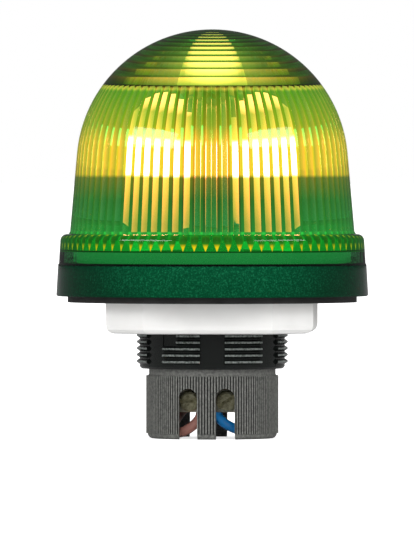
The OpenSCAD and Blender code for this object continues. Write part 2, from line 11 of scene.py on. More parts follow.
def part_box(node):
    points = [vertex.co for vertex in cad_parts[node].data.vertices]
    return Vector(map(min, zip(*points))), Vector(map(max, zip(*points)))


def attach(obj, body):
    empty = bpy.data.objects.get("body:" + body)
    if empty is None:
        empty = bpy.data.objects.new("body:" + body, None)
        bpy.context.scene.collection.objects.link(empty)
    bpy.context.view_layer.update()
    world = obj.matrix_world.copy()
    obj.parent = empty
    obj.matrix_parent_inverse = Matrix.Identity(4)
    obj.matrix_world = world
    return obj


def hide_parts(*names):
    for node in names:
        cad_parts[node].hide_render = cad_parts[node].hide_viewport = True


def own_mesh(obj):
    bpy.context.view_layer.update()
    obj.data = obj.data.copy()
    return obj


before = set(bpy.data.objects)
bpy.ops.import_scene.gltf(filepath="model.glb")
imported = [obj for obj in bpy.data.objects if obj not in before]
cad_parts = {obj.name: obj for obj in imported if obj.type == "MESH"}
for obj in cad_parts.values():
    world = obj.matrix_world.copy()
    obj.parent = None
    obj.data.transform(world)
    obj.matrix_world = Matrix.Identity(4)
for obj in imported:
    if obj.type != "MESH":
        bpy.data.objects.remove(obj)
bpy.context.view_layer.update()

MM = 0.001
WHITE = (1, 1, 1, 1)
BLACK = (0, 0, 0, 1)

# Camera
CAMERA_DISTANCE = 2.5
CAMERA_AIM = Vector((-1.297, 0, 7.86)) * MM
CAMERA_RISE = math.radians(0.6)
SENSOR_H = 24
FIELD_H = 132.19 * MM                    # height of what the camera sees at the object

# Lamps and floor
LAMP_DISTANCE = 1.55
LAMP_W, LAMP_H = 1.2, 0.35
LAMP_SIDE, LAMP_RISE = 54, 21            # degrees to each side of the front, and above level
KEY_POWER, FILL_POWER = 5, 4.4
FLOOR_SIZE = 30                          # half the floor's width, in metres
FLOOR_PALE = (0.8, 0.8, 0.8, 1)
FLOOR_DARK = (0.06, 0.06, 0.06, 1)
FLOOR_GLOW = 0.7                         # what makes the pale floor white where it shows
DARK_IN_GLOSS, DARK_IN_GLASS = 0.85, 0.65   # shares of the dark floor in gloss and through glass

# How bright the room is for each kind of ray: from one Y of its direction to another, the strength
# at the first and at the second
ROOM = (("Is Camera Ray", -2, -1, 1, 1), ("Is Transmission Ray", 0.2, 0.8, 0.03, 0.55),
        ("Is Glossy Ray", 0.985, 1, 0.08, 1), ("Is Diffuse Ray", -1, -0.1, 2.6, 0.6))

# Lens, in millimetres, as in the CAD model
DOME_R = 33.3
DOME_Z = 33.5
WALL_DRAFT = math.radians(5)
WALL_T = 2.2
CAP_T = 2.8
CREST_R = DOME_R - WALL_T                # radius of the flutes' crests in the dome
CAP_IN_R = DOME_R - CAP_T                # radius on which the ring prisms' inner edges lie
FLUTE_N = 78
FLUTE_TILT = math.radians(37)
FLUTE_PHASE = 0.9                        # where the crests stand round the lens, as a share of a flute
RING_N = 11
RING_R = 24.15
RING_W = 1.9
RING_DRAFT = math.radians(2)
SKIRT_OUT = 3.35
SKIRT_DRAFT = math.radians(3.2)
SHOULDER_Z = 16.75
SHOULDER_ROUND = 1.7
SKIRT_T = 2.1
SKIRT_Z = 1.5
LAND_Z = 9.3
STEP_H, STEP_IN = 0.3, 0.2               # the skirt's small step at its land
SHOULDER_IN = 0.4                        # where the shoulder starts, out from the wall
WAIST_Z = 26                             # height of the ring halfway up the wall
RECESS_Z = 12.3
INNER_SKIRT_T = 1.2
FOOT_Z = SHOULDER_Z + 0.6
FLUTE_END = 3.4                          # length of the flutes' pointed lower ends
LUG_Z, LUG_H, LUG_IN, LUG_GAP = 2.9, 1.8, 1.3, 0.3
LUG_END = 0.2                            # how far above its top a lug runs out
FLUTE_DEPTH = math.tan(FLUTE_TILT) * math.pi / FLUTE_N   # as a share of the radius

# Each flute has six points: three at its crest and three at its root, which are slightly rounded.
TIP = 0.015                              # half the width of a rounding, as a share of the flute's width
FINE_N = FLUTE_N * 6
PLAIN_N = FINE_N // 2

# Painted glow in the lens, emission that stands in for the lamp's scattered light, by height in
# millimetres, and up the flutes' pointed ends
GLOW_LEVEL = 50
GLOW_TOP = 70
GLOW = [(9, (0.001, 0.010, 0.0035)), (12, (0.0014, 0.013, 0.004)), (16.5, (0.003, 0.013, 0.003)),
        (17.5, (0.0014, 0.0045, 0.0012)), (25, (0.002, 0.003, 0.0006)), (30.4, (0.012, 0.0035, 0.0004)),
        (31.2, (0.068, 0.0135, 0.001)), (39, (0.068, 0.0135, 0.001)), (43, (0.024, 0.009, 0.0004)),
        (51, (0.01, 0.0075, 0.0004)), (53, (0.2, 0.045, 0.009)), (60, (0.17, 0.055, 0.012)),
        (66, (0.07, 0.045, 0.011))]
TOOTH_GLOW = [(0, (1.0, 0.055, 0.001)), (0.35, (0.8, 0.045, 0.001)), (0.6, (0.02, 0.014, 0.002)),
              (1, (0.0014, 0.0045, 0.0012))]
LENS_IOR = 1.58
LENS_SPECULAR = 0.05
LENS_TINT = (0.96, 1.0, 0.97, 1)
LENS_ABSORPTION = (0.15, 0.71, 0.38, 1)
LENS_DENSITY = 1000
CAP_GLOW_Z = 51.5                        # where the cap's rings take over from the flutes
GLOW_DEPTH = 1.5                         # how far out from the flutes' crests it shows
GROOVE = 0.04                            # how deep in a flute its groove begins
FRONT_DIM = 0.7                          # what of the painted glow is lost where the wall is seen from outside
SPECK_TOP = 20                           # length for the speckled skirt's upper limits

# The lit bulb's own light, by height in millimetres
BULB_LEVEL = 200
BULB_TOP = 60
BULB_HOT = (0.45, 0.045, 0.05)
BULB_GLOW = [(18.6, (0.013, 0.0027, 0.0006)), (25.2, (0.026, 0.0047, 0.001)),
             (30.12, (0.036, 0.0068, 0.0016)), (31.32, BULB_HOT), (38.1, BULB_HOT),
             (39.9, (0.022, 0.0055, 0.0013)), (45.6, (0.012, 0.0035, 0.0008)),
             (48, (0.07, 0.0105, 0.005))]
FILAMENT_LEVEL = 60

# Base and terminal housing, in millimetres
HOUSING_R = 16.2                         # the terminal housing's outside
THREAD_R = 18.5                          # the crests of the base's thread

# Terminal housing's turn, contacts and leads, in millimetres, as in the CAD model
TAIL_TURN = math.radians(-5.4)
PLUNGER_X = 3.4
TAB_Z = -14.4
SPRING_TOP = -8.45
SPRING_R = 1.25
SPRING_WIRE = 0.2
SPRING_TURNS = 6
SPRING_GAP = 0.02                        # between the spring's end turns and what they press on
COIL_POINTS = 24                         # points in each turn of a spring
LEAD_R = 1.2
WIRE_R = 0.6
WIRE_X = 9.1 / 2 - 1.6 - WIRE_R - 0.15   # the bare wire, beside the screw's shank
WIRE_Y = -5.8 - 1.2 - WIRE_R             # and in front of the terminal strip
WIRE_LOW, WIRE_HIGH = -26.8, -20.6
BROWN_ROUTE = [(2.1, -7.8, -27.1), (2.5, -8.3, -28.4), (4.1, -9, -30.2), (6.3, -8.5, -31.5),
               (8.3, -5.8, -31.8), (9.3, -2.2, -31), (9.2, 2, -29), (7.8, 6, -26.6),
               (5.6, 9.2, -24.6), (3.6, 10.3, -22)]
BLUE_ROUTE = [(2.1, -7.8, -27.1), (2.4, -8.2, -28.1), (4, -8.9, -29.5), (6.3, -8.4, -30.7),
              (8.3, -5.8, -31.2), (9.3, -2.2, -30.6), (9.2, 2, -28.8), (7.8, 6, -26.6),
              (5.6, 9.2, -24.6), (3.6, 10.3, -22)]
FILAMENT_X, FILAMENT_Z, FILAMENT_H = 2.4, 31.5, 8
FILAMENT_R, FILAMENT_WIRE, FILAMENT_TURNS = 0.3, 0.06, 34


def wall_r(z):
    top_r, top_z = DOME_R * math.cos(WALL_DRAFT), DOME_Z + DOME_R * math.sin(WALL_DRAFT)
    return top_r + (top_z - z) * math.tan(WALL_DRAFT)


SKIRT_R = wall_r(FOOT_Z) + SKIRT_OUT
INNER_R = wall_r(FOOT_Z) - WALL_T        # inside of the inner skirt, level with the flutes' crests


# ---- Camera --------------------------------------------------------------------------------------

def make_camera():
    data = bpy.data.cameras.new("camera")
    data.sensor_fit = "VERTICAL"
    data.sensor_height = SENSOR_H
    data.lens = SENSOR_H * CAMERA_DISTANCE / FIELD_H
    data.clip_start = 0.1
    data.clip_end = 100
    camera = bpy.data.objects.new("camera", data)
    bpy.context.scene.collection.objects.link(camera)
    away = Vector((0, -math.cos(CAMERA_RISE), math.sin(CAMERA_RISE)))
    camera.location = CAMERA_AIM + away * CAMERA_DISTANCE
    camera.rotation_euler = (math.pi / 2 - CAMERA_RISE, 0, 0)
    bpy.context.scene.camera = camera


make_camera()


# ---- Node materials ------------------------------------------------------------------------------

class Shader:
    """A material under construction, with short calls for the nodes that repeat."""

    def __init__(self, name):
        self.material = bpy.data.materials.new(name)
        self.material.use_nodes = True
        self.tree = self.material.node_tree
        self.tree.nodes.clear()
        self.output = self.tree.nodes.new("ShaderNodeOutputMaterial")
        self.place = self.tree.nodes.new("ShaderNodeTexCoord").outputs["Object"]

    def node(self, kind, **values):
        made = self.tree.nodes.new(kind)
        for key, value in values.items():
            setattr(made, key, value)
        return made

    def link(self, source, target):
        self.tree.links.new(source, target)

    def stretched(self, x, y, z):
        """The object's own coordinates, in millimetres, scaled by x, y and z."""
        mapping = self.node("ShaderNodeMapping")
        mapping.inputs["Scale"].default_value = (x / MM, y / MM, z / MM)
        self.link(self.place, mapping.inputs["Vector"])
        return mapping.outputs["Vector"]

    def axes(self):
        """X, Y and Z of the place, in millimetres."""
        split = self.node("ShaderNodeSeparateXYZ")
        self.link(self.stretched(1, 1, 1), split.inputs["Vector"])
        return [split.outputs[axis] for axis in "XYZ"]

    def off_axis(self, x, y, z=None):
        """The length of (x, y), or of (x, y, z)."""
        across = self.math("ADD", self.math("MULTIPLY", x, x), self.math("MULTIPLY", y, y))
        if z is not None:
            across = self.math("ADD", across, self.math("MULTIPLY", z, z))
        return self.math("SQRT", across)

    def noise(self, size, detail=3, rough=0.5, place=None):
        """Noise whose grain is about size millimetres."""
        made = self.node("ShaderNodeTexNoise")
        made.inputs["Scale"].default_value = 1 / size
        made.inputs["Detail"].default_value = detail
        made.inputs["Roughness"].default_value = rough
        self.link(place or self.stretched(1, 1, 1), made.inputs["Vector"])
        return made.outputs["Fac"]

    def ramp(self, factor, stops, length=1):
        """A colour or a grey for a factor, by stops given as parts of a length."""
        made = self.node("ShaderNodeValToRGB")
        elements = made.color_ramp.elements
        while len(elements) < len(stops):
            elements.new(0.5)
        for element, (position, colour) in zip(elements, stops):
            element.position = position / length
            element.color = (*(colour if isinstance(colour, tuple) else [colour] * 3), 1)
        self.link(factor, made.inputs["Fac"])
        return made.outputs["Color"]

    def math(self, operation, first, second=None):
        made = self.node("ShaderNodeMath", operation=operation)
        for socket, value in zip(made.inputs, (first, second)):
            if value is not None:
                self.assign(socket, value)
        return made.outputs["Value"]

    def mix(self, factor, first, second):
        made = self.node("ShaderNodeMix", data_type="RGBA")
        colours = [socket for socket in made.inputs if socket.type == "RGBA"]
        for socket, value in zip((made.inputs[0], *colours), (factor, first, second)):
            self.assign(socket, value)
        return [socket for socket in made.outputs if socket.type == "RGBA"][0]

    def assign(self, socket, value):
        """Links a socket to a value from another node, or sets it to a constant."""
        if isinstance(value, bpy.types.NodeSocket):
            self.link(value, socket)
        else:
            socket.default_value = value

    def bump(self, height, distance, normal=None):
        """A bump of distance millimetres."""
        made = self.node("ShaderNodeBump")
        made.inputs["Strength"].default_value = 1
        made.inputs["Distance"].default_value = distance * MM
        self.link(height, made.inputs["Height"])
        if normal:
            self.link(normal, made.inputs["Normal"])
        return made.outputs["Normal"]

    def surface(self, **values):
        """The Principled shader, with each value set or linked, joined to the output."""
        made = self.node("ShaderNodeBsdfPrincipled")
        for key, value in values.items():
            self.assign(made.inputs[key.replace("_", " ")], value)
        self.link(made.outputs["BSDF"], self.output.inputs["Surface"])


def moulded(name, dark, light, grain, rough, depth):
    """Moulded plastic or rubber: a slightly clouded colour, and a fine grain in roughness and bump."""
    s = Shader(name)
    cloud = s.noise(6, 4)
    fine = s.noise(grain, 2)
    colour = s.ramp(cloud, [(0.35, dark), (0.65, light)])
    roughness = s.ramp(fine, [(0.3, rough * 0.85), (0.7, rough * 1.15)])
    s.surface(Base_Color=colour, Roughness=roughness, Normal=s.bump(fine, depth))
    return s.material


def metal(name, dark, light, rough, scratch=0.004, clouds=1.1):
    """Plated metal: a clouded tint, fine drawn lines and small dull spots."""
    s = Shader(name)
    cloud = s.noise(clouds, 4, 0.6)
    lines = s.noise(0.25, 3, 0.6, s.stretched(1, 1, 6))
    colour = s.ramp(cloud, [(0.3, dark), (0.7, light)])
    roughness = s.ramp(s.noise(0.5, 4, 0.6), [(0.35, rough * 0.7), (0.7, rough * 1.6)])
    s.surface(Base_Color=colour, Metallic=1.0, Roughness=roughness, Normal=s.bump(lines, scratch))
    return s.material


def base_material():
    """Black moulded plastic, with a painted highlight: pale grey on the crests of its thread."""
    s = Shader("base_black")
    x, y, z = s.axes()
    off = s.math("ABSOLUTE", s.math("SUBTRACT", THREAD_R, s.off_axis(x, y)))
    cloud = s.noise(0.5, 4, 0.6)
    # painted highlight: pale grey on the thread's crests, by distance from the crest radius
    crest_painted_highlight = s.ramp(cloud, [(0.35, (0.04, 0.047, 0.042)), (0.65, (0.2, 0.22, 0.21))])
    plain = s.ramp(cloud, [(0.3, (0.003, 0.004, 0.0035)), (0.7, (0.006, 0.008, 0.007))])
    threaded = s.math("LESS_THAN", z, 0)
    share = s.math("MULTIPLY", s.ramp(off, [(0.05, 1.0), (0.14, 0.0)]), threaded)
    s.surface(Base_Color=s.mix(share, plain, crest_painted_highlight), Normal=s.bump(s.noise(0.3, 2), 0.004),
              Roughness=s.ramp(cloud, [(0.3, 0.13), (0.7, 0.2)]))
    return s.material


def housing_material():
    """Grey moulded plastic, with a painted highlight in pale on the crests of its fine ribs and painted
    shade in near black between them.
    """
    s = Shader("housing_grey")
    x, y, _ = s.axes()
    low = s.math("SUBTRACT", HOUSING_R, s.off_axis(x, y))
    cloud = s.noise(0.7, 5, 0.65)
    # pale on the ribs' crests is a painted highlight; near black in the grooves between them is painted
    # shade
    crest = s.ramp(cloud, [(0.3, (0.06, 0.063, 0.058)), (0.7, (0.2, 0.202, 0.186))])
    groove = s.ramp(cloud, [(0.3, (0.001, 0.0015, 0.001)), (0.7, (0.004, 0.005, 0.004))])
    colour = s.mix(s.ramp(low, [(0.03, 0.0), (0.12, 1.0), (0.34, 1.0), (0.4, 0.0)]), crest, groove)
    roughness = s.ramp(s.noise(0.2, 2), [(0.3, 0.42), (0.7, 0.58)])
    s.surface(Base_Color=colour, Roughness=roughness, Normal=s.bump(cloud, 0.03))
    return s.material


def lens_glow(s, z, radius, crest_r, facing):
    """Painted glow, emission that stands in for the lamp's scattered light in the lens's flutes and
    rings, which shows most from within the wall.
    """
    within = s.node("ShaderNodeNewGeometry").outputs["Backfacing"]
    level = s.math("DIVIDE", z, GLOW_TOP)
    glow = s.ramp(level, GLOW, GLOW_TOP)
    grooved = s.math("GREATER_THAN", s.math("SUBTRACT", radius, INNER_R), GROOVE)
    tooth = s.math("DIVIDE", s.math("SUBTRACT", z, RECESS_Z), FLUTE_END)
    low_end = s.math("LESS_THAN", s.math("ABSOLUTE", s.math("SUBTRACT", tooth, 0.5)), 0.5)
    low_end = s.math("MULTIPLY", low_end, s.ramp(facing, [(0.3, 1.0), (0.5, 0.0)]))
    low_end = s.math("MULTIPLY", low_end, within)
    glow = s.mix(s.math("MULTIPLY", grooved, low_end), glow, s.ramp(tooth, TOOTH_GLOW))
    inside = s.math("LESS_THAN", s.math("SUBTRACT", radius, crest_r), GLOW_DEPTH)
    glow = s.mix(inside, BLACK, glow)
    capped = s.ramp(level, [(CAP_GLOW_Z, 0.0), (CAP_GLOW_Z + 0.5, 1.0)], GLOW_TOP)
    aside = s.ramp(facing, [(0.0, 0.0), (0.02, 0.4), (0.06, 0.7), (0.14, 0.9), (0.3, 0.97)])
    glow = s.mix(s.math("MULTIPLY", aside, capped), glow, BLACK)
    return s.mix(s.math("MULTIPLY", s.math("SUBTRACT", 1, within), FRONT_DIM), glow, BLACK)


def lens_material():
    """Clear green plastic. Its colour comes from its depth. The flutes and rings inside carry a painted
    glow, emission that stands in for the lamp's scattered light, and the skirt below the ledge is dark
    and finely speckled, with painted shade darkening it towards its outline."""
    s = Shader("lens_green")
    x, y, z = s.axes()
    over = s.math("MAXIMUM", s.math("SUBTRACT", z, DOME_Z), 0)
    under = s.math("MAXIMUM", s.math("SUBTRACT", DOME_Z, z), 0)
    radius = s.off_axis(x, y, over)
    crest_r = s.math("ADD", s.math("MULTIPLY", under, math.tan(WALL_DRAFT)), CREST_R)
    facing = s.node("ShaderNodeLayerWeight").outputs["Facing"]
    # painted glow: emission in the lens that stands in for the lamp's scattered light
    glow = lens_glow(s, z, radius, crest_r, facing)
    low = s.math("DIVIDE", z, SPECK_TOP)
    below = s.ramp(low, [(8.9, 1.0), (9.2, 0.0)], SPECK_TOP)
    tinted = s.ramp(low, [(9.3, 1.0), (9.5, 0.0)], SPECK_TOP)
    sparkle = s.noise(0.4, 2, 0.7)
    normal = s.bump(s.math("MULTIPLY", sparkle, below), 0.02, s.bump(s.noise(5, 2), 0.004))
    speck = s.ramp(sparkle, [(0.4, (0.0003, 0.038, 0.014)), (0.55, (0.001, 0.055, 0.021)),
                             (0.66, (0.006, 0.11, 0.045))])
    # painted shade: the skirt's colour darkens towards its outline, as the surface turns away from the
    # view
    edge = s.ramp(facing, [(0.1, 0.0), (0.35, 0.6), (0.8, 0.9)])
    speck = s.mix(edge, speck, (0.001, 0.012, 0.006, 1))
    s.surface(Base_Color=s.mix(tinted, LENS_TINT, speck), Normal=normal, IOR=LENS_IOR,
              Roughness=s.math("ADD", s.math("MULTIPLY", below, 0.07), 0.015),
              Transmission_Weight=s.math("SUBTRACT", 1, below),
              Emission_Color=glow, Emission_Strength=GLOW_LEVEL, Specular_IOR_Level=LENS_SPECULAR)
    absorb = s.node("ShaderNodeVolumeAbsorption")
    absorb.inputs["Color"].default_value = LENS_ABSORPTION
    absorb.inputs["Density"].default_value = LENS_DENSITY
    s.link(absorb.outputs["Volume"], s.output.inputs["Volume"])
    return s.material


def bulb_glass_material():
    """The lit bulb: glass that glows, most where the filament is."""
    s = Shader("bulb_glass")
    z = s.axes()[2]
    glow = s.ramp(s.math("DIVIDE", z, BULB_TOP), BULB_GLOW, BULB_TOP)
    s.surface(Base_Color=(0.3, 0.29, 0.27, 1), Roughness=0.25, Normal=s.bump(s.noise(0.6, 3), 0.003),
              Specular_IOR_Level=0.05, Emission_Color=glow, Emission_Strength=BULB_LEVEL)
    return s.material


def filament_material():
    """White-hot wire."""
    s = Shader("filament")
    grain = s.noise(0.3, 2)
    colour = s.ramp(grain, [(0.3, (1, 0.5, 0.2)), (0.7, (1, 0.7, 0.35))])
    s.surface(Base_Color=(0.3, 0.3, 0.3, 1), Roughness=0.4, Emission_Color=colour,
              Emission_Strength=FILAMENT_LEVEL)
    return s.material


def make_materials():
    return {
        "lens_green": lens_material(),
        "rubber_black": moulded("rubber_black", (0.012, 0.013, 0.012), (0.02, 0.021, 0.02),
                                0.15, 0.55, 0.01),
        "base_black": base_material(),
        "nut_white": moulded("nut_white", (0.8, 0.795, 0.78), (0.83, 0.825, 0.81), 0.5, 0.45, 0.003),
        "housing_grey": housing_material(),
        "block_black": moulded("block_black", (0.012, 0.012, 0.012), (0.02, 0.02, 0.02),
                               0.25, 0.5, 0.006),
        "brass": metal("brass", (0.7, 0.5, 0.2), (0.8, 0.6, 0.28), 0.3),
        "zinc_plate": metal("zinc_plate", (0.65, 0.65, 0.54), (0.8, 0.78, 0.64), 0.4),
        "screw_zinc": metal("screw_zinc", (0.45, 0.42, 0.22), (1.0, 0.97, 0.72), 0.5, 0.05, 0.8),
        "lead_brown": moulded("lead_brown", (0.38, 0.16, 0.13), (0.46, 0.21, 0.17), 0.4, 0.4, 0.004),
        "lead_blue": moulded("lead_blue", (0.0, 0.17, 0.48), (0.01, 0.23, 0.6), 0.4, 0.35, 0.004),
        "copper": metal("copper", (0.7, 0.32, 0.2), (0.85, 0.42, 0.28), 0.3),
        "spring_steel": metal("spring_steel", (0.5, 0.5, 0.5), (0.65, 0.65, 0.64), 0.25),
        "nickel": metal("nickel", (0.6, 0.57, 0.52), (0.72, 0.69, 0.63), 0.22),
        "bulb_glass": bulb_glass_material(),
        "bulb_bead": moulded("bulb_bead", (0.02, 0.02, 0.04), (0.03, 0.03, 0.06), 0.3, 0.2, 0.003),
        "filament": filament_material(),
    }


MATERIALS = make_materials()


def dress(node, material):
    """Gives a CAD node its finish."""
    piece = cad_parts[node]
    piece.data.materials.clear()
    piece.data.materials.append(MATERIALS[material])


def new_piece(name, mesh, body, material, replaced=()):
    """A piece of this script, in place, that rides on a body."""
    piece = bpy.data.objects.new(name, mesh)
    bpy.context.scene.collection.objects.link(piece)
    mesh.materials.append(MATERIALS[material])
    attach(piece, body)
    if replaced:
        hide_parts(*replaced)
    return piece


# ---- Lens ----------------------------------------------------------------------------------------

def column_angles(count, flat=0.0):
    """The angles of a ring's points. In a ring with all the points, each flute has three at its
    crest, whose flat is this wide, and three at its root."""
    if count < FINE_N:
        step = FINE_N // count
        return column_angles(FINE_N)[step // 2::step]
    half = min(max(flat / 2, TIP), 0.5 - 2 * TIP)
    across = np.array([-half, 0, half, 0.5 - TIP, 0.5, 0.5 + TIP])
    shares = (np.arange(FLUTE_N)[:, None] + across[None, :]).ravel()
    return (shares + FLUTE_PHASE) * 2 * math.pi / FLUTE_N - math.pi / 2


class Ring:
    """One ring of the lens's skin: a height, a radius, a number of points and how deep the flutes'
    grooves are there. A corner ring has a sharp edge all round."""

    def __init__(self, z, r, count=PLAIN_N, flute=0.0, corner=False, lug=0.0):
        self.count, self.flute, self.corner = count, flute, corner
        angles = column_angles(count, 1 - flute)
        radii = np.full(count, float(r))
        if flute:
            deep = np.array([0, -TIP / 2, 0, flute - 2 * TIP, flute - TIP, flute - 2 * TIP])
            radii *= 1 + FLUTE_DEPTH * np.tile(deep, FLUTE_N)
        if lug:
            column = 2 * math.pi / FLUTE_N
            off = np.abs((angles + math.pi / 2) % math.pi - math.pi / 2) / column
            radii -= lug * np.clip(2 - off, 0, 1)
        heights = np.full(count, float(z))
        self.points = np.stack([radii * np.cos(angles), radii * np.sin(angles), heights], 1)


def side_r(z, stepped):
    return SKIRT_R - (z - SKIRT_Z) * math.tan(SKIRT_DRAFT) - (STEP_IN if stepped else 0)


def dome_ring(a, radius=DOME_R, **more):
    return Ring(DOME_Z + radius * math.sin(a), radius * math.cos(a), **more)


def step_z(k):
    """Height of the inner edge of the cap's ring prism k."""
    return DOME_Z + math.sqrt(CAP_IN_R ** 2 - (RING_R - k * RING_W) ** 2)


def lens_rings():
    """All rings of the lens, from the top over the outside to the lower edge and back up inside."""
    rings = [dome_ring(math.radians(a)) for a in np.arange(88.5, 6, -2.5)]
    rings += [dome_ring(WALL_DRAFT), Ring(WAIST_Z, wall_r(WAIST_Z)),
              Ring(FOOT_Z, wall_r(FOOT_Z), corner=True)]
    rings += [Ring(SHOULDER_Z, wall_r(FOOT_Z) + SHOULDER_IN, corner=True)]
    corner_z = SHOULDER_Z - SHOULDER_ROUND
    corner_mid = side_r(corner_z, True) - SHOULDER_ROUND
    for a in np.radians(np.arange(90, -1, -15)):
        rings.append(Ring(corner_z + SHOULDER_ROUND * math.sin(a),
                          corner_mid + SHOULDER_ROUND * math.cos(a)))
    rings += [Ring(LAND_Z + STEP_H, side_r(LAND_Z + STEP_H, True), corner=True),
              Ring(LAND_Z, side_r(LAND_Z, False), corner=True),
              Ring(SKIRT_Z + STEP_H, side_r(SKIRT_Z + STEP_H, False)),
              Ring(SKIRT_Z, side_r(SKIRT_Z, False) - STEP_H, corner=True)]
    inside = SKIRT_R - SKIRT_T
    rings += [Ring(SKIRT_Z, inside, corner=True),
              Ring(LUG_Z - LUG_GAP, inside),
              Ring(LUG_Z, inside, lug=LUG_IN, corner=True),
              Ring(LUG_Z + LUG_H, inside, lug=LUG_IN, corner=True),
              Ring(LUG_Z + LUG_H + LUG_END, inside)]
    rings += [Ring(RECESS_Z, inside, corner=True),
              Ring(RECESS_Z, INNER_R + INNER_SKIRT_T, corner=True),
              Ring(LAND_Z, INNER_R + INNER_SKIRT_T, corner=True),
              Ring(LAND_Z, INNER_R, corner=True)]
    rings += [Ring(RECESS_Z + FLUTE_END * deep, INNER_R, FINE_N, deep) for deep in (0.07, 0.3, 0.65, 1)]
    rings += [Ring(FOOT_Z, INNER_R, FINE_N, 1.0)]
    top_a = math.asin((step_z(0) - DOME_Z) / CREST_R)
    rings += [dome_ring(a, CREST_R, count=FINE_N, flute=1.0)
              for a in np.linspace(WALL_DRAFT, top_a, 14)]
    rings[-1].corner = True
    for k in range(RING_N):
        low, high, r = step_z(k), step_z(k + 1), RING_R - k * RING_W
        rings += [Ring(low, r, corner=True),
                  Ring(high, r - (high - low) * math.tan(RING_DRAFT), corner=True)]
    cap_a = math.acos((RING_R - RING_N * RING_W) / CAP_IN_R)
    rings += [Ring(step_z(RING_N), RING_R - RING_N * RING_W, corner=True)]
    rings += [dome_ring(cap_a + (math.pi / 2 - cap_a) * share, CAP_IN_R) for share in (0.35, 0.7)]
    return rings


def band(start_a, count_a, start_b, count_b):
    """Faces between two rings, where one may have k times as many points as the other. A point of
    the coarse ring stands over the middle one of its k points."""
    faces = []
    if count_a == count_b:
        for i in range(count_a):
            j = (i + 1) % count_a
            faces.append((start_a + i, start_b + i, start_b + j, start_a + j))
        return faces
    flip = count_a > count_b
    fine_start, fine, coarse_start, coarse = ((start_a, count_a, start_b, count_b) if flip
                                              else (start_b, count_b, start_a, count_a))
    k = fine // coarse
    for i in range(coarse):
        j = (i + 1) % coarse
        for m in range(k):
            here = fine_start + (k * i + k // 2 + m) % fine
            after = fine_start + (k * i + k // 2 + m + 1) % fine
            peak = coarse_start + (i if m < k / 2 else j)
            faces.append((peak, after, here) if not flip else (peak, here, after))
            if m == (k - 1) // 2:
                pair = (coarse_start + i, coarse_start + j, after)
                faces.append(pair if not flip else pair[::-1])
    return faces


def make_lens():
    rings = lens_rings()
    top = np.array([[0, 0, DOME_Z + DOME_R]])
    under = np.array([[0, 0, DOME_Z + CAP_IN_R]])
    parts, starts, total = [top], [], 1
    for ring in rings:
        starts.append(total)
        parts.append(ring.points)
        total += ring.count
    parts.append(under)
    points = np.concatenate(parts) * MM
    faces = [(0, starts[0] + i, starts[0] + (i + 1) % rings[0].count) for i in range(rings[0].count)]
    for a, b, start_a, start_b in zip(rings, rings[1:], starts, starts[1:]):
        faces += band(start_a, a.count, start_b, b.count)
    last, count = starts[-1], rings[-1].count
    faces += [(total, last + (i + 1) % count, last + i) for i in range(count)]
    mesh = bpy.data.meshes.new("lens_moulding")
    mesh.from_pydata(points.tolist(), [], faces)
    mesh.validate()
    mark_edges(mesh, rings, starts, total)
    return mesh


def mark_edges(mesh, rings, starts, total):
    """Smooth faces, with sharp edges along the flutes' facets and round the corner rings."""
    ring_of = np.full(total + 1, -1)
    for k, (ring, start) in enumerate(zip(rings, starts)):
        ring_of[start:start + ring.count] = k
    corner = np.array([ring.corner for ring in rings] + [False])
    fluted = np.array([ring.flute > 0 for ring in rings] + [False])
    ends = np.zeros(len(mesh.edges) * 2, int)
    mesh.edges.foreach_get("vertices", ends)
    first, second = ring_of[ends[0::2]], ring_of[ends[1::2]]
    sharp = ((first == second) & corner[first]) | ((first != second) & (fluted[first] | fluted[second]))
    mesh.polygons.foreach_set("use_smooth", np.ones(len(mesh.polygons), bool))
    attribute = mesh.attributes.new("sharp_edge", "BOOLEAN", "EDGE")
    attribute.data.foreach_set("value", sharp)
    mesh.update()


# ---- Wires and coils -----------------------------------------------------------------------------

def smooth_route(route, steps):
    """Points on the smooth curve through the route's points."""
    p = [Vector(q) for q in route]
    p = [p[0]] + p + [p[-1]]
    made = []
    for i in range(1, len(p) - 2):
        for k in range(steps):
            t = k / steps
            a, b, c, d = p[i - 1], p[i], p[i + 1], p[i + 2]
            made.append(0.5 * (2 * b + (c - a) * t + (2 * a - 5 * b + 4 * c - d) * t ** 2
                               + (3 * b - a - 3 * c + d) * t ** 3))
    return made + [p[-2]]


def tube(path, radius, sides=16):
    """Points and faces of a round tube with flat ends along a path, in millimetres."""
    normal = None
    points, faces = [], []
    for i, here in enumerate(path):
        along = (path[min(i + 1, len(path) - 1)] - path[max(i - 1, 0)]).normalized()
        if normal is None:
            normal = along.orthogonal().normalized()
        normal = (normal - along * normal.dot(along)).normalized()
        other = along.cross(normal)
        for k in range(sides):
            a = 2 * math.pi * k / sides
            points.append(here + radius * (math.cos(a) * normal + math.sin(a) * other))
    for i in range(len(path) - 1):
        for k in range(sides):
            low, high = i * sides, (i + 1) * sides
            faces.append((low + k, low + (k + 1) % sides, high + (k + 1) % sides, high + k))
    faces.append(tuple(range(sides))[::-1])
    faces.append(tuple((len(path) - 1) * sides + k for k in range(sides)))
    return points, faces


def tube_mesh(name, path, radius, sides=16, turn=TAIL_TURN):
    points, faces = tube(path, radius, sides)
    mesh = bpy.data.meshes.new(name)
    mesh.from_pydata([p * MM for p in points], [], faces)
    mesh.transform(Matrix.Rotation(turn, 4, "Z"))
    mesh.polygons.foreach_set("use_smooth", np.array([len(f) == 4 for f in faces]))
    return mesh


